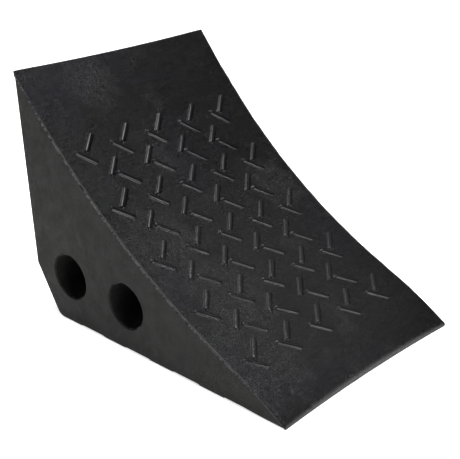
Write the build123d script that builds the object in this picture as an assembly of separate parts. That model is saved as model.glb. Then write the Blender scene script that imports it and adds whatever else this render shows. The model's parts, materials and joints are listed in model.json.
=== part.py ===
from build123d import *
import math
import os

# A moulded rubber wheel chock. The heel is at -X, the toe at +X, and the floor is z = 0.
# Y runs across the tyre's width. All sizes are in millimetres and degrees.

# Overall size
length = 254.0              # rear face to toe edge
height = 192.5              # floor to the top edge
rear_lean = 0.5             # how far the rear face leans in at the top
half_width = 100.4          # side face from the middle plane, at the contact face
side_draft = 0.1            # narrowing of each side per millimetre away from the contact face
heel_x = -length / 2
toe_x = length / 2
top_x = heel_x + rear_lean

# Contact face, in side view: a steep straight, a hollow arc, a shallow straight, then a slight
# roll down to the toe
steep_angle = 49.37
steep_run = 34.0
hollow_radius = 527.0
shallow_angle = 25.5
shallow_run = 30.0
roll_radius = 200.0
roll_end_angle = 40.0        # past the toe edge, so that the roll is cut off by it
facing_thickness = 2.5
toe_bow = 3.0               # the toe edge curves in by this much at the middle
top_sag = 1.6               # the top edge dips by this much at the middle

# Heel: the rear face turns under along a sloping flat
heel_break_height = 39.7
heel_foot_x = -105.3
heel_break_radius = 5.0
heel_foot_radius = 8.0
corner_radius = 2.0         # down the rear corners
toe_radius = 4.0            # along the upper edge of the toe

# Through bores, across the block
bore_radius = 18.2
bore_lip_radius = 0.8
rear_bore = (-86.3, 39.8)   # x, z
front_bore = (-23.9, 36.9)

# Sole: cross ribs with shallow grooves between them
groove_depth = 1.7
groove_slope = 1.5          # run of each rounded step
cleat_width = 25.0
cleat_pitch = 50.2
first_cleat_x = -90.6
cleat_count = 4
toe_foot_start = 90.0       # the last groove starts to run out here
toe_foot_full = 118.0       # and reaches the floor here

# Tread bars, placed by y and by distance down the contact face from the top edge
bar_length = 21.0
bar_width = 5.0
bar_height = 1.7
bar_pitch_across = 36.3
bar_pitch_down = 48.6
odd_rows = (5, 5)           # columns, rows
even_rows = (4, 4)
odd_right_start = (-71.6, 68.2)
odd_left_start = (-80.8, 78.5)
even_right_start = (-63.2, 91.2)
even_left_start = (-55.6, 103.0)

# Flash lip along both long edges of the contact face
flash_start = 37.0
flash_end = 284.0
flash_reach = 1.0
flash_thickness = 1.3

# A round ejector mark near the toe
mark_place = (-77.0, 300.0)
mark_diameter = 9.5
mark_depth = 0.4

reach = 400.0               # larger than the part, for cutting tools


def arc_centre():
    """Centre of the hollow arc in side view."""
    slope = math.radians(steep_angle)
    start_x = top_x + steep_run * math.cos(slope)
    start_z = height - steep_run * math.sin(slope)
    return start_x + hollow_radius * math.sin(slope), start_z + hollow_radius * math.cos(slope)


def arc_point(angle, depth=0.0):
    """Point on the hollow arc where the face slopes at this angle, sunk by depth."""
    centre_x, centre_z = arc_centre()
    slope = math.radians(angle)
    radius = hollow_radius + depth
    return centre_x - radius * math.sin(slope), centre_z - radius * math.cos(slope)


def along(point, angle, distance):
    """Move down the slope from a point in side view."""
    slope = math.radians(angle)
    return point[0] + distance * math.cos(slope), point[1] - distance * math.sin(slope)


def roll_point(angle, depth=0.0):
    """Point on the roll near the toe where the face slopes at this angle, sunk by depth."""
    start_x, start_z = along(arc_point(shallow_angle), shallow_angle, shallow_run)
    start = math.radians(shallow_angle)
    centre_x = start_x - roll_radius * math.sin(start)
    centre_z = start_z - roll_radius * math.cos(start)
    slope = math.radians(angle)
    radius = roll_radius - depth
    return centre_x + radius * math.sin(slope), centre_z + radius * math.cos(slope)


def face_station(distance):
    """Point and slope of the contact face at a distance from the top edge."""
    arc_length = hollow_radius * math.radians(steep_angle - shallow_angle)
    rest = distance - steep_run - arc_length
    if distance < steep_run:
        return along((top_x, height), steep_angle, distance), steep_angle
    if rest < 0:
        turned = math.degrees((distance - steep_run) / hollow_radius)
        return arc_point(steep_angle - turned), steep_angle - turned
    if rest < shallow_run:
        return along(arc_point(shallow_angle), shallow_angle, rest), shallow_angle
    turned = math.degrees((rest - shallow_run) / roll_radius)
    return roll_point(shallow_angle + turned), shallow_angle + turned


def under_face(depth):
    """Side view of everything deeper than this under the contact face."""
    arc_start = arc_point(steep_angle, depth)
    arc_middle = arc_point((steep_angle + shallow_angle) / 2, depth)
    arc_end = arc_point(shallow_angle, depth)
    roll_start = roll_point(shallow_angle, depth)
    roll_middle = roll_point((shallow_angle + roll_end_angle) / 2, depth)
    roll_end = roll_point(roll_end_angle, depth)
    high = along(arc_start, steep_angle, -reach)
    low = along(roll_end, roll_end_angle, reach)
    edge = Polyline(high, arc_start) + ThreePointArc(arc_start, arc_middle, arc_end)
    edge += Polyline(arc_end, roll_start) + ThreePointArc(roll_start, roll_middle, roll_end)
    edge += Polyline(roll_end, low, (high[0], low[1]), high)
    return side_view(edge)


def side_view(edge):
    """Turn a closed line in x and z into a face on the middle plane."""
    return Plane.XZ * make_face(edge)


def across(face):
    """Extrude a side view to both sides, well past the part."""
    return extrude(face, amount=reach, both=True)


def outline():
    """Side view of the rear, heel and sole lines, open above."""
    corners = Polyline(
        (top_x, height),
        (heel_x, heel_break_height),
        (heel_foot_x, 0),
        (toe_x + toe_bow, 0),
        (toe_x + toe_bow, height),
        close=True,
    )
    shape = make_face(corners)
    heel_break = shape.vertices().sort_by_distance((heel_x, heel_break_height, 0))[0]
    shape = fillet(heel_break, heel_break_radius)
    heel_foot = shape.vertices().sort_by_distance((heel_foot_x, 0, 0))[0]
    return Plane.XZ * fillet(heel_foot, heel_foot_radius)


def side_taper(half):
    """Prism whose sides lean in away from the contact face."""
    toe_height = along(arc_point(shallow_angle), shallow_angle, 0)[1]
    toe_height -= (toe_x - arc_point(shallow_angle)[0]) * math.tan(math.radians(shallow_angle))
    chord = Vector(toe_x - top_x, 0, toe_height - height).normalized()
    frame = Plane(origin=(toe_x, 0, toe_height), x_dir=(0, 1, 0), z_dir=chord)
    outward = 1 if frame.y_dir.Z > 0 else -1
    wide = half + side_draft * reach
    narrow = half - side_draft * reach
    section = Polyline(
        (-wide, outward * reach),
        (wide, outward * reach),
        (narrow, -outward * reach),
        (-narrow, -outward * reach),
        close=True,
    )
    return extrude(frame * make_face(section), amount=2 * reach, both=True)


def bow_cutters():
    """Large cylinders that curve the toe edge in and the top edge down."""
    toe_curve = half_width**2 / (2 * toe_bow)
    top_curve = half_width**2 / (2 * top_sag)
    toe_cutter = Pos(toe_x - toe_bow + toe_curve, 0, 0) * Cylinder(toe_curve, reach)
    top_axis = Pos(0, 0, height - top_sag + top_curve) * Rot(0, 90, 0)
    return [toe_cutter, top_axis * Cylinder(top_curve, reach)]


def chock_body():
    """The whole chock without grooves, bars or bores."""
    body = across(outline()) & across(under_face(0)) & side_taper(half_width)
    rear_corners = body.edges().filter_by(lambda edge: is_rear_corner(edge))
    body = fillet(rear_corners, corner_radius)
    for cutter in bow_cutters():
        body -= cutter
    toe_edge = body.edges().filter_by(lambda edge: is_toe_edge(edge))
    return fillet(toe_edge, toe_radius)


def is_rear_corner(edge):
    """True for the side edges of the rear face, the heel and their curved joints."""
    start, middle, end = (edge.position_at(part) for part in (0, 0.5, 1))
    along_side = start.Y * end.Y > 1
    behind = middle.X < heel_foot_x + heel_foot_radius / 2
    below_face = middle.X < heel_x + 1 or middle.Z < heel_break_height
    return along_side and behind and below_face


def is_toe_edge(edge):
    """True for the upper edge of the toe, which spans the part's width."""
    middle = edge.position_at(0.5)
    runs_across = abs(edge.position_at(0).Y - edge.position_at(1).Y) > half_width
    return runs_across and middle.X > toe_x - 1.5 * toe_bow and middle.Z > 0


def grooves():
    """Side view of the grooves between the cross ribs, cut into the sole."""
    shapes = []
    half_rib = cleat_width / 2
    for index in range(cleat_count):
        left = first_cleat_x + index * cleat_pitch + half_rib
        right = left + cleat_pitch - cleat_width
        last = index == cleat_count - 1
        floor_end = toe_foot_full if last else right + groove_slope
        roof_end = toe_foot_start if last else right
        line = Polyline(
            (left - groove_slope, 0),
            (left, groove_depth),
            (roof_end, groove_depth),
            (floor_end, 0),
            close=True,
        )
        shapes.append(across(side_view(line)))
    return shapes


def floor_layer():
    """The slice of space between the floor and the groove roofs."""
    size = 2 * reach
    return Pos(0, 0, groove_depth - reach) * Box(size, size, size)


def bore(centre):
    """One through bore with slightly rounded mouths is cut with this cylinder."""
    return Pos(centre[0], 0, centre[1]) * Rot(90, 0, 0) * Cylinder(bore_radius, reach)


def make_block(body):
    """The wedge under the facing, above the groove roofs, with both bores."""
    block = (body & across(under_face(facing_thickness))) - floor_layer()
    for centre in (rear_bore, front_bore):
        block -= bore(centre)
    mouths = block.edges().filter_by(lambda edge: is_bore_mouth(edge))
    return fillet(mouths, bore_lip_radius)


def is_bore_mouth(edge):
    """True for the closed edges where a bore meets a side face."""
    return edge.is_closed and abs(edge.center().Y) > half_width / 2


def make_facing(body):
    """The contact layer down to the sole, with the round mark near the toe."""
    facing = body - across(under_face(facing_thickness)) - floor_layer()
    mark = Cylinder(mark_diameter / 2, 2 * mark_depth)
    return facing - face_place(*mark_place) * mark


def make_cleats(body):
    """The cross ribs under the sole."""
    cleats = body & floor_layer()
    for groove in grooves():
        cleats -= groove
    return cleats


def face_place(y, distance):
    """Frame on the contact face: its X runs across, its Y up the slope, its Z outward."""
    (x, z), slope = face_station(distance)
    return Pos(x, y, z) * Rot(0, slope, 0) * Rot(0, 0, 90)


def capsule():
    """One bar: a half-sunk rod with ball ends, lying along its own X."""
    radius = (bar_width**2 / 4 + bar_height**2) / (2 * bar_height)
    sunk = radius - bar_height
    half_rod = bar_length / 2 - bar_width / 2
    rod = Rot(0, 90, 0) * Cylinder(radius, 2 * half_rod)
    for end in (-half_rod, half_rod):
        rod += Pos(end, 0, 0) * Sphere(radius)
    return Pos(0, 0, -sunk) * rod


def bar_places(start, grid):
    """Places of one set of bars on the contact face."""
    columns, rows = grid
    places = []
    for row in range(rows):
        for column in range(columns):
            y = start[0] + column * bar_pitch_across
            distance = start[1] + row * bar_pitch_down
            places.append(face_place(y, distance))
    return places


def make_bars(odd_start, even_start, turn, body):
    """All bars of one lean, each cut off at the contact face."""
    places = bar_places(odd_start, odd_rows) + bar_places(even_start, even_rows)
    rod = capsule()
    return [(place * Rot(0, 0, turn) * rod) - body for place in places]


def make_flash(body):
    """The thin lip outside both side faces, just under the contact face."""
    (start_x, _), _ = face_station(flash_start)
    (end_x, _), _ = face_station(flash_end)
    layer = across(under_face(0)) - across(under_face(flash_thickness))
    span = Pos((start_x + end_x) / 2, 0, 0) * Box(end_x - start_x, 2 * reach, 2 * reach)
    strips = layer & span & side_taper(half_width + flash_reach)
    return strips - side_taper(half_width)


def save(name, shape):
    """Write one named piece."""
    export_step(Compound(shape) if isinstance(shape, list) else shape, f"parts/{name}.step")


def main():
    os.makedirs("parts", exist_ok=True)
    body = chock_body()
    save("block", make_block(body))
    save("ramp_facing", make_facing(body))
    save("sole_cleats", make_cleats(body))
    save("tread_bars_right", make_bars(odd_right_start, even_right_start, 45, body))
    save("tread_bars_left", make_bars(odd_left_start, even_left_start, -45, body))
    save("edge_flash", make_flash(body))


main()
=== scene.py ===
import functools
import json
import math

import bmesh
import bpy
import numpy as np
from mathutils import Matrix, Vector
from mathutils.bvhtree import BVHTree


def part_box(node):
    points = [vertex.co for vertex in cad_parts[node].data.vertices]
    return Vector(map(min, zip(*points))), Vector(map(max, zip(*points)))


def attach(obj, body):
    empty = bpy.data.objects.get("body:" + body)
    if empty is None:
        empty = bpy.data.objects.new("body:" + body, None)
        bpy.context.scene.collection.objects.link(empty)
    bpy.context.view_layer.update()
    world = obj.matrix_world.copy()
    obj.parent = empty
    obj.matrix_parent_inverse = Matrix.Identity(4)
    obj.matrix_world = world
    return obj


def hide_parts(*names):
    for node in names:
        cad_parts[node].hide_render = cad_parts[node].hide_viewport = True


# Rubber wheel chock. Metres, in the part's own frame: heel at -X, toe at +X, floor at z = 0.
# Places on the contact face are (y, s): y across it, and s down it from the top edge.

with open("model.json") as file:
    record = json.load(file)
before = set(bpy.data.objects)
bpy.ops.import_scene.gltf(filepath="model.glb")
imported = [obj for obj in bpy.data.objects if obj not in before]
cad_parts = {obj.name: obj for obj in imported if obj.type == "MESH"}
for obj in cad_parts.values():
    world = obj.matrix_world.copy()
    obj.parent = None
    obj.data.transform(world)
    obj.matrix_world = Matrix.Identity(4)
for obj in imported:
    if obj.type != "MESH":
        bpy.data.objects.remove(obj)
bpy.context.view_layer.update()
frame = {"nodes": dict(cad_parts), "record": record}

MM = 0.001
FAR = 1.0                           # start of every ray, well outside the chock

# The face's line is read between these two insets, clear of its rounded ends.
LINE_TOP_INSET = 5.0 * MM
LINE_TOE_INSET = 6.4 * MM
LINE_SAMPLES = 240
LINE_END_STEPS = 6, 4               # samples that set the slope at the top end and at the toe end
LINE_SMOOTHING = 9                  # samples averaged in the face's slope, an odd number
SIDE_SAMPLES = slice(10, -30, 6)    # samples of the line where the side wall is measured
SIDE_DEPTHS = 0.6 * MM, 1.8 * MM    # and how far under the face

# Contact skin.
SKIN_STEP = 0.8 * MM                # mesh spacing, except along the edges
SKIN_DEPTH = 2.5 * MM
MIDDLE_HEIGHT = 100.0 * MM          # where the skin's width is taken to space its columns
# Columns and rows lie this far in from the sides and the top edge, and evenly past each band.
SIDE_COLUMNS = np.array([0, 0.12, 0.28, 0.5, 0.8, 1.2, 1.7, 2.4, 3.2]) * MM
SIDE_BAND = 4.0 * MM
TOP_ROWS = np.array([0, 0.15, 0.35, 0.6, 0.95, 1.4, 2.0]) * MM
TOP_BAND = 3.0 * MM
TOP_SAG = 1.6 * MM                  # dip of the top edge at the middle of its width
TOP_EDGE_RADIUS = 0.7 * MM
TOP_EDGE_START = 0.1 * MM
SIDE_EDGE_RADIUS = 0.6 * MM
SIDE_EDGE_GROWTH = 1.7 * MM         # added to that radius near the toe
TOE_BLEND = 46.0 * MM, 14.0 * MM    # distances from the toe between which it is added
RELIEF_MARGIN = 2.5 * MM            # the relief fades out this close to an edge
TOE_RADIUS = 4.0 * MM               # along the upper edge of the toe
TOE_TURN_ROWS = 18
TOE_FOOT = 1.0 * MM                 # radius under the toe
TOE_FOOT_ROWS = 4
TOE_FRONT_ROWS = 2
TOE_SKIN = 0.88 * TOE_FOOT
TOE_ROLL_ANGLE = 0.8                # radians past the face's slope at which the toe counts as rolled
TOE_RELIEF_LOSS = 0.7               # share of the relief that is gone there
TOE_LIFT = 0.12 * MM
FLOOR_GAP = 0.02 * MM

# Relief of the contact face: height, cell size and seed of each layer of slow waves.
WAVES = ((0.12 * MM, 34.0 * MM, 1), (0.06 * MM, 13.0 * MM, 2), (0.02 * MM, 4.5 * MM, 3))
PIT_DEPTH, PIT_CELL, PIT_SEED = 0.30 * MM, 1.9 * MM, 4
PIT_ONSET = 0.6
PIT_SHARE = 0.25                    # share of the pits that is there outside the blistered patches
LUMP_HEIGHT, LUMP_CELL, LUMP_SEED = 0.11 * MM, 2.6 * MM, 5
LUMP_FLOOR = -0.4
BLISTER_CELL, BLISTER_SEED = 42.0 * MM, 6
BLISTER_ONSET = 0.1, 0.55
BLISTERED_SPOT = -52.0 * MM, 158.0 * MM, 34.0 * MM    # y, s and radius
PLAIN_SPOT = 65.0 * MM, 31.0 * MM, 70.0 * MM
SPOT_CORE = 0.3                     # share of a spot's radius that is at full strength

# Round mark near the toe.
MARK_Y, MARK_S, MARK_RADIUS = -77.0 * MM, 300.0 * MM, 4.8 * MM
MARK_DEPTH = 0.45 * MM
MARK_WALL = 1.4 * MM
MARK_RIM_HEIGHT, MARK_RIM_OFFSET, MARK_RIM_WIDTH = 0.22 * MM, 0.4 * MM, 0.7 * MM

# Tread bars. Each range is how far one bar may be off the size before it.
BAR_HALF, BAR_HALF_RANGE = 2.2 * MM, (-0.12 * MM, 0.12 * MM)
BAR_HEIGHT, BAR_HEIGHT_RANGE = 1.6 * MM, (-0.14 * MM, 0.12 * MM)
BAR_SPINE, BAR_SPINE_RANGE = 8.2 * MM, (-0.35 * MM, 0.35 * MM)
BAR_LEAN, BAR_LEAN_RANGE = 45.0, (-0.7, 0.7)          # degrees
BAR_SEEDS = {1: 11, -1: 12}
BAR_RINGS = np.array([0, 0.18, 0.36, 0.54, 0.7, 0.82, 0.9, 0.955, 0.985, 1.0])
BAR_FOOT = 0.45 * MM
BAR_FOOT_RINGS = np.array([0.3, 0.65, 1.0])
BAR_AROUND = 56
BAR_SQUARENESS = 2.3                # 2 is a round crest, and more is a flatter one
BAR_APRON = 0.28 * MM               # height of the fillet at the bar's foot
BAR_APRON_START = 0.86
BAR_SINK = 0.06 * MM                # the outermost ring lies this far under the face
BAR_RELIEF_LOSS = 0.85              # share of the face's relief that is gone at the crest
BAR_RELIEF = 0.02 * MM, 3.0 * MM, 21
SMALLEST_RING = 0.02 * MM
MERGE_DISTANCE = 0.005 * MM         # corners closer than this are one corner

# Lip along the long edges of the face.
LIP_STEP = 0.6 * MM
LIP_AROUND = 8
LIP_OUT, LIP_UP = 0.8 * MM, 0.42 * MM
LIP_INSET, LIP_DROP, LIP_DEPTH = 0.1 * MM, 0.1 * MM, 0.25 * MM
LIP_FADES = 14.0 * MM, 45.0 * MM    # it thins out over these lengths at the top and at the toe
LIP_MEAN, LIP_LEAST = 0.85, 0.55
LIP_END_SHARE = 0.25
LIP_WAVES = ((0.28, 2.3 * MM, 31), (0.3, 9.0 * MM, 32))

# Torn fin in the mouths of the bores.
FIN_AROUND = 120
FIN_LEAST, FIN_GROWTH, FIN_MOST = 0.25 * MM, 0.75 * MM, 1.4
FIN_ROOT = 0.3 * MM                 # the fin starts this far inside the rubber
FIN_HALF_THICK, FIN_ROOT_DEPTH = 0.12 * MM, 0.6 * MM
FIN_INSET = 1.1 * MM                # from the side wall in to the fin
FIN_WAVES = ((1.0, 9.0, 1.3, 42), (0.6, 26.0, 1.0, 92))    # share, turns, cell size and first seed


# ---------------------------------------------------------------- shapes read from the frame

def tree_of(node):
    """Ray-casting tree of one CAD node."""
    mesh = frame["nodes"][node].data
    points = [vertex.co for vertex in mesh.vertices]
    return BVHTree.FromPolygons(points, [face.vertices[:] for face in mesh.polygons])


def read_face_line(tree, low, high):
    """Points of the contact face on the middle plane, carried on straight past its rounded ends."""
    xs = np.linspace(low.x + LINE_TOP_INSET, high.x - LINE_TOE_INSET, LINE_SAMPLES)
    hits = [tree.ray_cast(Vector((x, 0, FAR)), Vector((0, 0, -1)))[0] for x in xs]
    zs = np.array([hit.z for hit in hits])
    top, toe = LINE_END_STEPS
    steep = (zs[top] - zs[0]) / (xs[top] - xs[0])
    shallow = (zs[-1] - zs[-1 - toe]) / (xs[-1] - xs[-1 - toe])
    top_x = xs[0] + (high.z - zs[0]) / steep
    toe_z = zs[-1] + shallow * (high.x - xs[-1])
    return np.concatenate([[top_x], xs, [high.x]]), np.concatenate([[high.z], zs, [toe_z]])


def read_side_plane(tree, xs, zs):
    """Plane of the side wall, as a, b and c in half width = a + b x + c z."""
    rows, widths = [], []
    for x, z in zip(xs[SIDE_SAMPLES], zs[SIDE_SAMPLES]):
        for depth in SIDE_DEPTHS:
            hit = tree.ray_cast(Vector((x, -FAR, z - depth)), Vector((0, 1, 0)))[0]
            if hit is not None:
                rows.append((1.0, x, z - depth))
                widths.append(-hit.y)
    return np.linalg.lstsq(np.array(rows), np.array(widths), rcond=None)[0]


def smooth_slope(xs, zs, distances):
    """Slope angle of the contact face at each point of its line."""
    angle = np.arctan2(-np.gradient(zs, distances), np.gradient(xs, distances))
    padded = np.pad(angle, LINE_SMOOTHING // 2, mode="edge")
    return np.convolve(padded, np.ones(LINE_SMOOTHING) / LINE_SMOOTHING, mode="valid")


def read_toe_bow(tree, toe_x, height):
    """How far the toe's edge curves in at the middle of its width."""
    hit = tree.ray_cast(Vector((FAR, 0, height)), Vector((-1, 0, 0)))[0]
    return toe_x - float(hit.x)


def read_bores():
    """Centre x, centre z and radius of each through bore."""
    mounts = [mount for mount in frame["record"]["mounts"] if mount["kind"] == "bore"]
    return [(mount["pos_m"][0], mount["pos_m"][2], mount["dims"]["r_mm"] * MM) for mount in mounts]


facing_tree = tree_of("ramp_facing")
face_low, face_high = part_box("ramp_facing")
line_x, line_z = read_face_line(facing_tree, face_low, face_high)
line_s = np.concatenate([[0], np.cumsum(np.hypot(np.diff(line_x), np.diff(line_z)))])
line_angle = smooth_slope(line_x, line_z, line_s)
side_plane = read_side_plane(facing_tree, line_x, line_z)
face_length = float(line_s[-1])
sole_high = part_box("sole_cleats")[1]
toe_x = float(sole_high.x)
toe_bow = read_toe_bow(tree_of("sole_cleats"), toe_x, 0.5 * sole_high.z)
bores = read_bores()


def half_width(x, z):
    return side_plane[0] + side_plane[1] * x + side_plane[2] * z


def on_face(y, s, height):
    """Points at width y and distance s down the contact face, raised by height."""
    x = np.interp(s, line_s, line_x)
    z = np.interp(s, line_s, line_z)
    angle = np.interp(s, line_s, line_angle)
    return np.stack([x + height * np.sin(angle), y, z + height * np.cos(angle)], axis=-1)


# ---------------------------------------------------------------- small random relief

RANDOM_TABLE_SIZE = 512
RANDOM_TABLE_START = 200.0          # in cells, so that every place here lies inside the table


@functools.lru_cache(maxsize=None)
def random_table(seed):
    size = RANDOM_TABLE_SIZE
    return np.random.default_rng(seed).uniform(-1, 1, (size, size))


def ease(t):
    return t * t * (3 - 2 * t)


def smooth_step(low, high, value):
    return ease(np.clip((value - low) / (high - low), 0, 1))


def patchy(u, v, cell, seed):
    """Smooth random heights between -1 and 1 with this cell size."""
    table = random_table(seed)
    a, b = u / cell + RANDOM_TABLE_START, v / cell + RANDOM_TABLE_START
    i, j = np.floor(a).astype(int), np.floor(b).astype(int)
    f, g = ease(a - i), ease(b - j)
    i, j = i % (RANDOM_TABLE_SIZE - 1), j % (RANDOM_TABLE_SIZE - 1)
    first = table[i, j] * (1 - f) + table[i + 1, j] * f
    second = table[i, j + 1] * (1 - f) + table[i + 1, j + 1] * f
    return first * (1 - g) + second * g


def near_spot(y, s, spot):
    """One at a place on the face, fading to nothing at its radius."""
    centre_y, centre_s, radius = spot
    return 1 - smooth_step(SPOT_CORE * radius, radius, np.hypot(y - centre_y, s - centre_s))


def face_relief(y, s):
    """Height of the moulded face over its ideal surface: slow waves, lumps and small pits."""
    waves = sum(height * patchy(y, s, cell, seed) for height, cell, seed in WAVES)
    blistered = smooth_step(*BLISTER_ONSET, patchy(y, s, BLISTER_CELL, BLISTER_SEED))
    blistered = np.maximum(blistered, near_spot(y, s, BLISTERED_SPOT))
    blistered *= 1 - near_spot(y, s, PLAIN_SPOT)
    lumps = LUMP_HEIGHT * np.clip(patchy(y, s, LUMP_CELL, LUMP_SEED), LUMP_FLOOR, 1) * blistered
    holes = np.clip(patchy(y, s, PIT_CELL, PIT_SEED) - PIT_ONSET, 0, 1)
    return waves + lumps - PIT_DEPTH * holes * (PIT_SHARE + blistered)


def round_mark(y, s):
    """A shallow round mark with a faint raised rim, near the toe."""
    distance = np.hypot(y - MARK_Y, s - MARK_S)
    dish = -MARK_DEPTH * (1 - smooth_step(MARK_RADIUS - MARK_WALL, MARK_RADIUS, distance))
    from_rim = distance - MARK_RADIUS - MARK_RIM_OFFSET
    return dish + MARK_RIM_HEIGHT * np.exp(-((from_rim / MARK_RIM_WIDTH) ** 2))


# ---------------------------------------------------------------- mesh helpers

def make_object(name, points, faces):
    """A smooth-shaded object in the scene."""
    mesh = bpy.data.meshes.new(name)
    mesh.from_pydata([tuple(map(float, point)) for point in points], [], faces)
    mesh.validate()
    mesh.polygons.foreach_set("use_smooth", [True] * len(mesh.polygons))
    obj = bpy.data.objects.new(name, mesh)
    bpy.context.scene.collection.objects.link(obj)
    return obj


def grid_faces(rows, columns, offset=0, flip=False, wrap=False):
    """Quads of a rows by columns grid; wrap joins the last column to the first."""
    faces = []
    for row in range(rows - 1):
        for column in range(columns if wrap else columns - 1):
            a = offset + row * columns + column
            b = offset + row * columns + (column + 1) % columns
            quad = (a, b, b + columns, a + columns)
            faces.append(quad[::-1] if flip else quad)
    return faces


def close_layer(name, top, under):
    """Join an upper and a lower grid into one closed skin."""
    rows, columns = top.shape[:2]
    count = rows * columns
    faces = grid_faces(rows, columns, flip=True)
    faces += grid_faces(rows, columns, offset=count)
    rim = list(range(columns))
    rim += [row * columns + columns - 1 for row in range(1, rows)]
    rim += [(rows - 1) * columns + column for column in range(columns - 2, -1, -1)]
    rim += [row * columns for row in range(rows - 2, 0, -1)]
    for a, b in zip(rim, rim[1:] + rim[:1]):
        faces.append((a, b, b + count, a + count))
    points = np.concatenate([top.reshape(-1, 3), under.reshape(-1, 3)])
    return make_object(name, points, faces)


# ---------------------------------------------------------------- contact skin

def face_columns():
    """Places across the face from -1 to 1, closer together at both edges."""
    half = float(half_width(0, MIDDLE_HEIGHT))
    count = int((2 * half - 2 * SIDE_BAND) / SKIN_STEP)
    middle = np.linspace(-half + SIDE_BAND, half - SIDE_BAND, count)
    return np.concatenate([-half + SIDE_COLUMNS, middle, half - SIDE_COLUMNS[::-1]]) / half


def face_rows():
    """Fractions of the way down the face, closer together at the top edge."""
    rest = np.linspace(TOP_BAND / face_length, 1, int(face_length / SKIN_STEP))
    return np.concatenate([TOP_ROWS / face_length, rest])


def toe_profile(nose_x, nose_z, slope):
    """Rows of (x, z, lean) that carry the face over the toe's curve, down it and under its foot."""
    rows = []
    for angle in np.linspace(slope, math.pi / 2, TOE_TURN_ROWS + 1)[1:]:
        rows.append((nose_x + TOE_RADIUS * math.sin(angle), nose_z + TOE_RADIUS * math.cos(angle), angle))
    front = nose_x + TOE_RADIUS
    for row in range(TOE_FRONT_ROWS):
        fall = (row + 1) / TOE_FRONT_ROWS
        rows.append((front, nose_z + (TOE_FOOT - nose_z) * fall, math.pi / 2))
    for angle in np.linspace(0, math.pi / 2, TOE_FOOT_ROWS + 1)[1:]:
        height = np.full_like(nose_z, TOE_FOOT * (1 - math.sin(angle)))
        rows.append((front - TOE_FOOT * (1 - math.cos(angle)), height, math.pi / 2 + angle))
    return rows


def face_grid():
    """Columns across the face, and grids of its x, z, lean, s, skin thickness and roll over the toe."""
    across, part = np.meshgrid(face_columns(), face_rows())
    across = across[:1]
    slope = float(line_angle[-1])
    nose_x = toe_x - toe_bow * (1 - across**2) - TOE_RADIUS
    turn_x = nose_x + TOE_RADIUS * math.sin(slope)
    nose_z = np.interp(turn_x, line_x, line_z) - TOE_RADIUS * math.cos(slope)
    s = part * np.interp(turn_x, line_x, line_s)
    ramp = [np.interp(s, line_s, values) for values in (line_x, line_z, line_angle)]
    grid = np.stack([*ramp, s, np.full_like(s, SKIN_DEPTH), np.zeros_like(s)])
    same = np.ones_like(nose_x)
    for x, z, lean in toe_profile(nose_x, nose_z, slope):
        last_x, last_z, _, last_s, _, _ = grid[:, -1:]
        past = last_s + np.hypot(x - last_x, z - last_z)
        rolled = min(1.0, (lean - slope) / TOE_ROLL_ANGLE)
        row = np.stack([x, z, lean * same, past, TOE_SKIN * same, rolled * same])
        grid = np.concatenate([grid, row], axis=1)
    return across, grid


def skin_height(y, s, to_side, rolled):
    """Height of the skin over the ideal face: its relief, its eased edges and its rolled toe."""
    to_edge = np.minimum(to_side, np.minimum(s, s[-1:] - s))
    height = (face_relief(y, s) + round_mark(y, s)) * (1 - TOE_RELIEF_LOSS * rolled)
    height *= smooth_step(0, RELIEF_MARGIN, to_edge)
    blend_start, blend_end = (face_length - distance for distance in TOE_BLEND)
    near_toe = smooth_step(blend_start, blend_end, s) * (1 - rolled)
    height -= edge_drop(to_side, SIDE_EDGE_RADIUS + SIDE_EDGE_GROWTH * near_toe)
    height -= edge_drop(s + TOP_EDGE_START, TOP_EDGE_RADIUS)
    return height + TOE_LIFT * rolled


def edge_drop(distance, radius):
    """How far a rounded edge falls at this distance in from it."""
    inside = np.clip(radius - distance, 0, None)
    return radius - np.sqrt(np.clip(radius**2 - inside**2, 0, None))


def keep_inside(layer):
    """Hold a grid of points within the chock's side walls, heel, toe and floor."""
    limit = half_width(layer[..., 0], layer[..., 2])
    layer[..., 1] = np.clip(layer[..., 1], -limit, limit)
    layer[..., 0] = np.clip(layer[..., 0], face_low.x, toe_x)
    layer[..., 2] = np.maximum(layer[..., 2], FLOOR_GAP)


def build_facing():
    """The contact skin with its relief and the round mark, wrapped round the toe to the floor."""
    across, (x, z, lean, s, thick, rolled) = face_grid()
    half = half_width(x, z)
    y = across * half
    height = skin_height(y, s, half - np.abs(y), rolled)
    normal = np.stack([np.sin(lean), np.zeros_like(lean), np.cos(lean)], axis=-1)
    base = np.stack([x, y, z], axis=-1)
    top = base + normal * height[..., None]
    under = base - normal * thick[..., None]
    top[..., 2] = np.minimum(top[..., 2], face_high.z - TOP_SAG * (1 - across**2))
    keep_inside(top)
    keep_inside(under)
    return close_layer("facing_skin", top, under)


# ---------------------------------------------------------------- tread bars

def linked_points(start, left):
    """Places of all vertices joined to this one, which are taken out of the set left."""
    stack, group = [start], []
    while stack:
        vertex = stack.pop()
        group.append(vertex.co.copy())
        for link in vertex.link_edges:
            other = link.other_vert(vertex)
            if other in left:
                left.remove(other)
                stack.append(other)
    return group


def solid_centres(node):
    """Centre of the box round each separate solid of a CAD node."""
    work = bmesh.new()
    work.from_mesh(frame["nodes"][node].data)
    bmesh.ops.remove_doubles(work, verts=work.verts, dist=MERGE_DISTANCE)
    left = set(work.verts)
    centres = []
    while left:
        group = np.array(linked_points(left.pop(), left))
        centres.append([float(middle) for middle in (group.min(axis=0) + group.max(axis=0)) / 2])
    work.free()
    return sorted(centres)


def stadium(spine, reach):
    """Loop of points at one distance from a straight spine, as places along and across it."""
    reach = max(reach, SMALLEST_RING)
    angle = np.linspace(-math.pi / 2, math.pi / 2, BAR_AROUND // 2)
    right = np.stack([spine + reach * np.cos(angle), reach * np.sin(angle)])
    return np.concatenate([right, -right], axis=1)


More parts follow.
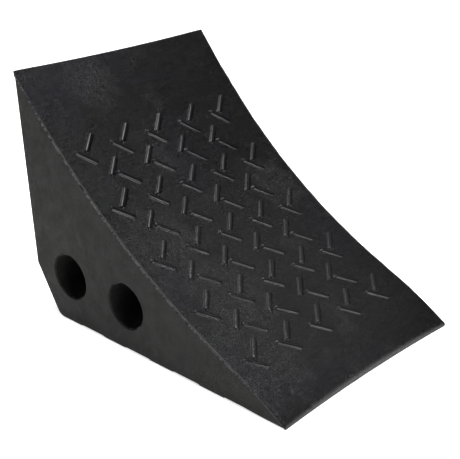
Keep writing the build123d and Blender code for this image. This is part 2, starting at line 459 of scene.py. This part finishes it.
def bar_profile(reach, height, half):
    """Height over the face at a distance from the bar's spine: a round crest and a small foot."""
    crest = height * np.sqrt(1 - min(reach / half, 1) ** BAR_SQUARENESS)
    apron = BAR_APRON * np.clip(1 - (reach - half) / BAR_FOOT, 0, 1) ** 2
    rise = max(crest, apron if reach > BAR_APRON_START * half else 0)
    return rise - (BAR_SINK if reach >= half + BAR_FOOT else 0)


def bar_points(centre, lean, rng):
    """Rings of points of one bar, each bar a little different, as from a worn mould."""
    s = float(np.interp(centre[0], line_x, line_s))
    half = BAR_HALF + rng.uniform(*BAR_HALF_RANGE)
    height = BAR_HEIGHT + rng.uniform(*BAR_HEIGHT_RANGE)
    spine = BAR_SPINE + rng.uniform(*BAR_SPINE_RANGE)
    turn = math.radians(lean * BAR_LEAN + rng.uniform(*BAR_LEAN_RANGE))
    wave, cell, seed = BAR_RELIEF
    rings = []
    for reach in np.concatenate([BAR_RINGS * half, half + BAR_FOOT * BAR_FOOT_RINGS]):
        along, across = stadium(spine, reach)
        y = centre[1] + along * math.cos(turn) - across * math.sin(turn)
        down = s - along * math.sin(turn) - across * math.cos(turn)
        worn = 1 - BAR_RELIEF_LOSS * math.sqrt(max(0.0, 1 - reach / half))
        rise = bar_profile(reach, height, half) + wave * patchy(y, down, cell, seed)
        rings.append(on_face(y, down, rise + face_relief(y, down) * worn))
    return rings


def build_bars(name, node, lean):
    """All bars of one lean, 1 or -1."""
    rng = np.random.default_rng(BAR_SEEDS[lean])
    points, faces = [], []
    for centre in solid_centres(node):
        base = len(points)
        rings = bar_points(centre, lean, rng)
        points.extend(np.concatenate(rings))
        last = len(points) - BAR_AROUND
        faces += grid_faces(len(rings), BAR_AROUND, offset=base, flip=True, wrap=True)
        faces.append(tuple(range(base, base + BAR_AROUND)))
        faces.append(tuple(range(last + BAR_AROUND - 1, last - 1, -1)))
    return make_object(name, points, faces)


# ---------------------------------------------------------------- flash

def lip_size(s, side):
    """Thickness of the lip down one edge, as a share of its full size."""
    top_fade, toe_fade = LIP_FADES
    fade = smooth_step(0, top_fade, s - s[0]) * smooth_step(0, toe_fade, lip_end - s)
    ragged = sum(share * patchy(s, np.full_like(s, side), cell, seed) for share, cell, seed in LIP_WAVES)
    return np.clip(LIP_MEAN + ragged, LIP_LEAST, 1.0) * (LIP_END_SHARE + (1 - LIP_END_SHARE) * fade)


def build_edge_flash():
    """The thin ragged lip left along both long edges of the contact face."""
    s = np.arange(lip_start, lip_end, LIP_STEP)
    angle = np.linspace(0, 2 * math.pi, LIP_AROUND + 1)[:-1]
    points, faces = [], []
    for side in (-1, 1):
        size = lip_size(s, side)
        centre = on_face(np.zeros_like(s), s, np.full_like(s, -LIP_DEPTH))
        edge = half_width(centre[:, 0], centre[:, 2])
        base = len(points)
        for index in range(len(s)):
            out = side * (edge[index] - LIP_INSET + LIP_OUT * size[index] * np.cos(angle))
            rise = LIP_UP * size[index] * np.sin(angle) - LIP_DROP
            points.extend(on_face(out, np.full_like(angle, s[index]), rise))
        faces += grid_faces(len(s), LIP_AROUND, offset=base, flip=side > 0, wrap=True)
        first = tuple(range(base, base + LIP_AROUND))
        last = tuple(range(len(points) - 1, len(points) - 1 - LIP_AROUND, -1))
        faces += [first, last] if side > 0 else [first[::-1], last[::-1]]
    return make_object("edge_lip", points, faces)


def torn_fin(theta, seed):
    """How far a fin reaches in from the wall of its bore."""
    torn = 0
    for share, turns, cell, first_seed in FIN_WAVES:
        torn = torn + share * patchy(turns * np.cos(theta), turns * np.sin(theta), cell, first_seed + seed)
    return FIN_LEAST + FIN_GROWTH * np.clip(torn, 0, FIN_MOST)


def build_bore_flash():
    """A thin torn fin just inside each bore's mouths."""
    points, faces = [], []
    theta = np.linspace(0, 2 * math.pi, FIN_AROUND + 1)[:-1]
    mouths = [(bore, side) for bore in bores for side in (-1, 1)]
    for seed, ((centre_x, centre_z, radius), side) in enumerate(mouths):
        tip, root = radius - torn_fin(theta, seed), radius + FIN_ROOT
        rings = [(root, 0.0), (tip, FIN_HALF_THICK), (tip, -FIN_HALF_THICK), (root, -FIN_ROOT_DEPTH)]
        base = len(points)
        for ring, depth in rings:
            x = centre_x + ring * np.cos(theta)
            z = centre_z + ring * np.sin(theta)
            y = side * (half_width(x, z) - FIN_INSET + depth)
            points.extend(np.stack([x, y, z], axis=-1))
        faces += grid_faces(len(rings), FIN_AROUND, offset=base, flip=side < 0, wrap=True)
        last = len(points) - FIN_AROUND
        for k in range(FIN_AROUND):
            after = (k + 1) % FIN_AROUND
            quad = (last + k, last + after, base + after, base + k)
            faces.append(quad[::-1] if side < 0 else quad)
    return make_object("bore_fins", points, faces)


# ---------------------------------------------------------------- nodes of a material

# Patterns in the rubber: noise scale, detail, roughness and distortion, and the two noise values
# between which the pattern comes in.
CLOUD = (22, 4, 0.6, 0.0, 0.38, 0.64)
MOTTLE = (170, 4, 0.65, 0.0, 0.35, 0.7)
BLOOM = (14, 3, 0.55, 0.6, 0.5, 0.66)
STREAKS = (260, 3, 0.6, 0.0, 0.45, 0.72)
SPECKS = (1250, 2, 0.6, 0.0, 0.5, 0.66)
GLOSS = (75, 5, 0.65, 0.0, 0.3, 0.7)
SCUFFS = (26, 5, 0.7, 0.4, 0.48, 0.72)
SCUFF_BREAKS = (110, 4, 0.7, 0.0, 0.34, 0.62)
MIDDLE_GRAIN = (620, 4, 0.65)
FINE_GRAIN = (1500, 3, 0.7)

# How strongly each pattern shows in the colour, in the roughness and as bump.
CLOUD_SHARE, MOTTLE_SHARE, BLOOM_SHARE, TOE_PALE_SHARE = 0.6, 0.4, 0.7, 0.75
SPECK_SHARE, SPECK_SHARE_WORN = 0.12, 0.8
# Least share of the painted light on the bore walls, where the mottle is lowest.
BORE_PAINTED_LIGHT_LEAST = 0.5
SCUFF_MOST, SCUFF_BREAK_LEAST = 0.7, 0.25
WORN_ROUGHNESS, STREAK_ROUGHNESS = 0.08, 0.06
MIDDLE_BUMP, FINE_BUMP, SCUFF_BUMP, STREAK_BUMP = 0.5 * MM, 0.3 * MM, 0.4 * MM, 0.12 * MM
MIDDLE_STRENGTH, STREAK_STRENGTH = 0.6, 0.7
NEAR_CORE = 0.25                    # share of a place's radius that is at full strength
BORE_WALL = 0.1 * MM, 0.4 * MM      # the painted light on the bore walls ends between these distances from the wall

# Places on the chock, each with its radius.
SCUFFED_PLACES = (
    ((-0.112, -0.040, 0.175), 0.034),
    ((-0.012, -0.072, 0.082), 0.045),
    ((-0.019, 0.070, 0.087), 0.032),
    ((0.042, -0.050, 0.048), 0.045),
    ((0.080, -0.085, 0.028), 0.055),
)
CLEAN_PLACES = (
    ((-0.106, 0.065, 0.169), 0.060),
    ((-0.087, -0.085, 0.147), 0.045),
)
# Paler colour round the toe end, low down near the floor, fading out with distance from this place.
TOE_PALE_PLACE = (0.06, 0.0, 0.035), 0.16
TOE_PALE_TONE = (0.0095, 0.0095, 0.0097)
# Paler colour on the bore walls: painted light standing in for light inside the bores.
BORE_PAINTED_LIGHT = (0.014, 0.0143, 0.0138)


def new_material(name):
    material = bpy.data.materials.new(name)
    material.use_nodes = True
    tree = material.node_tree
    return material, tree, tree.nodes["Principled BSDF"]


def noise(tree, coords, scale, detail, rough, distortion=0.0, stretch=(1, 1, 1)):
    mapping = tree.nodes.new("ShaderNodeMapping")
    mapping.inputs["Scale"].default_value = stretch
    tree.links.new(coords, mapping.inputs["Vector"])
    node = tree.nodes.new("ShaderNodeTexNoise")
    node.inputs["Scale"].default_value = scale
    node.inputs["Detail"].default_value = detail
    node.inputs["Roughness"].default_value = rough
    node.inputs["Distortion"].default_value = distortion
    tree.links.new(mapping.outputs[0], node.inputs["Vector"])
    return node.outputs[0]


def remap(tree, value, low, high, to_low=0.0, to_high=1.0):
    """Smooth step from to_low to to_high as the value goes from low to high."""
    node = tree.nodes.new("ShaderNodeMapRange")
    node.interpolation_type = "SMOOTHSTEP"
    for index, number in ((1, low), (2, high), (3, to_low), (4, to_high)):
        node.inputs[index].default_value = number
    tree.links.new(value, node.inputs[0])
    return node.outputs[0]


def pattern(tree, coords, recipe, to_low=0.0, to_high=1.0, stretch=(1, 1, 1)):
    """Noise of one recipe, brought in between its own two values."""
    *texture, low, high = recipe
    return remap(tree, noise(tree, coords, *texture, stretch=stretch), low, high, to_low, to_high)


def combine(tree, operation, a, b):
    node = tree.nodes.new("ShaderNodeMath")
    node.operation = operation
    for slot, value in enumerate((a, b)):
        if isinstance(value, (int, float)):
            node.inputs[slot].default_value = value
        else:
            tree.links.new(value, node.inputs[slot])
    return node.outputs[0]


def times(tree, a, b):
    return combine(tree, "MULTIPLY", a, b)


def plus(tree, a, b):
    return combine(tree, "ADD", a, b)


def blend(tree, factor, a, b):
    """Mix of two colours, each a socket or three numbers."""
    node = tree.nodes.new("ShaderNodeMix")
    node.data_type = "RGBA"
    tree.links.new(factor, node.inputs["Factor"])
    for slot, value in ((6, a), (7, b)):
        if isinstance(value, tuple):
            node.inputs[slot].default_value = (*value, 1)
        else:
            tree.links.new(value, node.inputs[slot])
    return node.outputs[2]


def bump(tree, height, distance, strength, normal=None):
    node = tree.nodes.new("ShaderNodeBump")
    node.inputs["Strength"].default_value = strength
    node.inputs["Distance"].default_value = distance
    tree.links.new(height, node.inputs["Height"])
    if normal is not None:
        tree.links.new(normal, node.inputs["Normal"])
    return node.outputs[0]


def distance_from(tree, coords, place):
    node = tree.nodes.new("ShaderNodeVectorMath")
    node.operation = "DISTANCE"
    node.inputs[1].default_value = place
    tree.links.new(coords, node.inputs[0])
    return node.outputs["Value"]


def near(tree, coords, place, radius):
    """One at a place on the part, fading to nothing at this distance from it."""
    return remap(tree, distance_from(tree, coords, place), NEAR_CORE * radius, radius, 1.0, 0.0)


# ---------------------------------------------------------------- materials

def inside_bores(tree, coords):
    """One on the walls of the through bores, nothing outside them."""
    side_on = tree.nodes.new("ShaderNodeMapping")
    side_on.inputs["Scale"].default_value = (1, 0, 1)
    tree.links.new(coords, side_on.inputs["Vector"])
    walls = []
    for x, z, radius in bores:
        away = distance_from(tree, side_on.outputs[0], (x, 0, z))
        walls.append(remap(tree, away, radius + BORE_WALL[0], radius + BORE_WALL[1], 1.0, 0.0))
    return functools.reduce(lambda a, b: plus(tree, a, b), walls)


def wear(tree, coords):
    """Scuffed and clean patches of the chock, between 0 and 1."""
    worn = pattern(tree, coords, SCUFFS, 0.0, SCUFF_MOST)
    for place, radius in SCUFFED_PLACES:
        worn = plus(tree, worn, near(tree, coords, place, radius))
    for place, radius in CLEAN_PLACES:
        worn = combine(tree, "SUBTRACT", worn, near(tree, coords, place, radius))
    broken = pattern(tree, coords, SCUFF_BREAKS, SCUFF_BREAK_LEAST, 1.0)
    return remap(tree, times(tree, worn, broken), 0.0, 1.0)


def rubber_tone(tree, coords, look, worn, specks):
    """Base colour: mottled dark and pale rubber, tinted bloom, a paler tone round the toe and low down,
    pale specks, and painted light on the bore walls.
    """
    mottle = pattern(tree, coords, MOTTLE)
    tone = blend(tree, times(tree, pattern(tree, coords, CLOUD), CLOUD_SHARE), look["dark"], look["pale"])
    tone = blend(tree, times(tree, mottle, MOTTLE_SHARE), tone, look["pale"])
    tone = blend(tree, times(tree, pattern(tree, coords, BLOOM), BLOOM_SHARE), tone, look["bloom"])
    tone = blend(tree, times(tree, near(tree, coords, *TOE_PALE_PLACE), TOE_PALE_SHARE), tone, TOE_PALE_TONE)
    share = plus(tree, times(tree, worn, SPECK_SHARE_WORN), SPECK_SHARE)
    tone = blend(tree, times(tree, specks, share), tone, look["speck"])
    # Painted light: the bore walls get a paler colour, broken up by the mottle.
    if look.get("bores"):
        bore_light = plus(tree, times(tree, mottle, 1 - BORE_PAINTED_LIGHT_LEAST), BORE_PAINTED_LIGHT_LEAST)
        tone = blend(tree, times(tree, inside_bores(tree, coords), bore_light), tone, BORE_PAINTED_LIGHT)
    return tone


def rubber_normal(tree, coords, look, worn, specks, streaks):
    """Bump: two sizes of grain, rubbed specks in the worn patches, and streaks."""
    grain, scuff = look["grain"], look["scuff"]
    normal = bump(tree, noise(tree, coords, *MIDDLE_GRAIN), MIDDLE_BUMP, grain * MIDDLE_STRENGTH)
    normal = bump(tree, noise(tree, coords, *FINE_GRAIN), FINE_BUMP, grain, normal)
    normal = bump(tree, times(tree, worn, specks), SCUFF_BUMP, scuff, normal)
    return bump(tree, streaks, STREAK_BUMP, scuff * STREAK_STRENGTH, normal)


def rubber(name, look):
    """Moulded rubber: mottled colour, matt scuffs, fine grain, and its own look."""
    material, tree, shader = new_material(name)
    coords = tree.nodes.new("ShaderNodeTexCoord").outputs["Object"]
    worn = wear(tree, coords)
    specks = pattern(tree, coords, SPECKS)
    streaks = pattern(tree, coords, STREAKS, stretch=look["streaks"])
    rough = pattern(tree, coords, GLOSS, *look["roughness"])
    rough = plus(tree, rough, times(tree, worn, WORN_ROUGHNESS))
    rough = plus(tree, rough, times(tree, streaks, STREAK_ROUGHNESS))
    tree.links.new(rubber_tone(tree, coords, look, worn, specks), shader.inputs["Base Color"])
    tree.links.new(rough, shader.inputs["Roughness"])
    tree.links.new(rubber_normal(tree, coords, look, worn, specks, streaks), shader.inputs["Normal"])
    shader.inputs["Specular IOR Level"].default_value = look["specular"]
    shader.inputs["IOR"].default_value = RUBBER_IOR
    return material


def dress(obj, material):
    obj.data.materials.clear()
    obj.data.materials.append(material)


RUBBER_IOR = 1.5
FACE_COLOURS = {
    "dark": (0.0006, 0.0006, 0.0007), "pale": (0.0028, 0.0028, 0.0029), "bloom": (0.0035, 0.0035, 0.0065),
}
# The block's look; its bores entry puts painted light on the bore walls.
BLOCK_LOOK = {
    "dark": (0.0016, 0.0017, 0.0014), "pale": (0.0036, 0.0037, 0.0031), "bloom": (0.0042, 0.0044, 0.0028),
    "speck": (0.032, 0.0326, 0.029), "roughness": (0.48, 0.6), "specular": 0.11,
    "grain": 0.9, "scuff": 0.4, "streaks": (1, 1, 1), "bores": True,
}
FACING_LOOK = {
    **FACE_COLOURS, "speck": (0.085, 0.085, 0.084), "roughness": (0.21, 0.29), "specular": 0.17,
    "grain": 1.0, "scuff": 1.0, "streaks": (1, 0.22, 1),
}
TREAD_LOOK = {
    **FACE_COLOURS, "speck": (0.016, 0.016, 0.016), "roughness": (0.13, 0.19), "specular": 0.24,
    "grain": 0.25, "scuff": 0.2, "streaks": (1, 0.4, 1),
}
# The edge lip's colours are many times paler than the facing's: a painted highlight along the lip.
LIP_HIGHLIGHT_LOOK = {
    "dark": (0.016, 0.016, 0.015), "pale": (0.030, 0.030, 0.029), "bloom": (0.030, 0.030, 0.028),
    "speck": (0.090, 0.090, 0.086), "roughness": (0.3, 0.4), "specular": 0.2,
    "grain": 0.5, "scuff": 0.4, "streaks": (1, 1, 1),
}
SOLE_LOOK = {
    "dark": (0.0055, 0.0055, 0.0052), "pale": (0.010, 0.010, 0.009), "bloom": (0.010, 0.0103, 0.008),
    "speck": (0.030, 0.030, 0.028), "roughness": (0.55, 0.7), "specular": 0.2,
    "grain": 0.6, "scuff": 0.5, "streaks": (0.3, 1, 1),
}

block_rubber = rubber("block_rubber", BLOCK_LOOK)
facing_rubber = rubber("facing_rubber", FACING_LOOK)
tread_rubber = rubber("tread_rubber", TREAD_LOOK)
# Material of the edge lip, whose pale colour is a painted highlight.
lip_painted_highlight = rubber("lip_painted_highlight", LIP_HIGHLIGHT_LOOK)
sole_rubber = rubber("sole_rubber", SOLE_LOOK)


# ---------------------------------------------------------------- pieces

lip_low, lip_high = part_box("edge_flash")
lip_start, lip_end = (float(np.interp(x, line_x, line_s)) for x in (lip_low.x, lip_high.x))

facing = build_facing()
bars_right = build_bars("bars_right", "tread_bars_right", 1)
bars_left = build_bars("bars_left", "tread_bars_left", -1)
edge_lip = build_edge_flash()
bore_fins = build_bore_flash()

for piece, node, material, slot in (
    (facing, "ramp_facing", facing_rubber, "facing_rubber"),
    (bars_right, "tread_bars_right", tread_rubber, "tread_rubber"),
    (bars_left, "tread_bars_left", tread_rubber, "tread_rubber"),
    (edge_lip, "edge_flash", lip_painted_highlight, "tread_rubber"),
    (bore_fins, None, block_rubber, "block_rubber"),
):
    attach(piece, "root")
    if node:
        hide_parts(node)
        dress(frame["nodes"][node], material)
    dress(piece, material)

dress(frame["nodes"]["block"], block_rubber)
dress(frame["nodes"]["sole_cleats"], sole_rubber)


# ---------------------------------------------------------------- studio

FLOOR_SIZE = 14
FLOOR_GREY = 0.93
FLOOR_ROUGHNESS = 0.95
FLOOR_SPECULAR = 0.1
FLOOR_GLOW = 0.6
LIT_PLACE = Vector((0, 0, 0.08))    # every light points here
LIGHTS = (                          # name, place, size, watts
    ("zenith", (0.0, 0.0, 1.6), (0.75, 0.75), 34),
    ("left", (-1.3, 0.1, 1.2), (0.6, 1.0), 10),
    ("toe_low", (1.6, -0.42, 0.32), (0.6, 0.18), 13),
    ("toe_side", (1.5, -0.3, 0.85), (0.4, 0.4), 4),
    ("front", (-0.5, -1.7, 0.8), (1.2, 0.8), 12),
    ("back", (-0.1, 1.15, 1.25), (1.2, 0.6), 1.7),
)
CAMERA_PLACE = Vector((0.492607, -0.588556, 0.384268))
CAMERA_FORWARD = Vector((-0.5999057, 0.7072653, -0.3740173))
CAMERA_ROLL = math.radians(0.81)
CAMERA_LENS, CAMERA_SENSOR = 86.495, 36    # millimetres


def build_floor():
    bpy.ops.mesh.primitive_plane_add(size=FLOOR_SIZE, location=(0, 0, 0))
    floor = bpy.context.object
    floor.name = "floor"
    material, _, shader = new_material("floor_paper")
    shader.inputs["Base Color"].default_value = (FLOOR_GREY, FLOOR_GREY, FLOOR_GREY, 1)
    shader.inputs["Roughness"].default_value = FLOOR_ROUGHNESS
    shader.inputs["Specular IOR Level"].default_value = FLOOR_SPECULAR
    shader.inputs["Emission Color"].default_value = (1, 1, 1, 1)
    shader.inputs["Emission Strength"].default_value = FLOOR_GLOW
    dress(floor, material)


def soft_light(name, place, size, energy):
    light = bpy.data.lights.new(name, "AREA")
    light.shape = "RECTANGLE"
    light.size, light.size_y = size
    light.energy = energy
    lamp = bpy.data.objects.new(name, light)
    bpy.context.scene.collection.objects.link(lamp)
    lamp.location = place
    lamp.rotation_euler = (LIT_PLACE - Vector(place)).to_track_quat("-Z", "Y").to_euler()


def darken_world():
    """A world that adds no light of its own."""
    world = bpy.data.worlds.new("studio")
    bpy.context.scene.world = world
    world.use_nodes = True
    background = world.node_tree.nodes["Background"]
    background.inputs["Color"].default_value = (1, 1, 1, 1)
    background.inputs["Strength"].default_value = 0.0


def place_camera():
    lens = bpy.data.cameras.new("camera")
    lens.sensor_width = CAMERA_SENSOR
    lens.lens = CAMERA_LENS
    camera = bpy.data.objects.new("camera", lens)
    bpy.context.scene.collection.objects.link(camera)
    aim = CAMERA_FORWARD.to_track_quat("-Z", "Y").to_matrix().to_4x4()
    camera.matrix_world = Matrix.Translation(CAMERA_PLACE) @ aim @ Matrix.Rotation(CAMERA_ROLL, 4, "Z")
    bpy.context.scene.camera = camera


build_floor()
for name, place, size, energy in LIGHTS:
    soft_light(name, place, size, energy)
darken_world()
place_camera()
bpy.context.scene.view_settings.view_transform = "Standard"
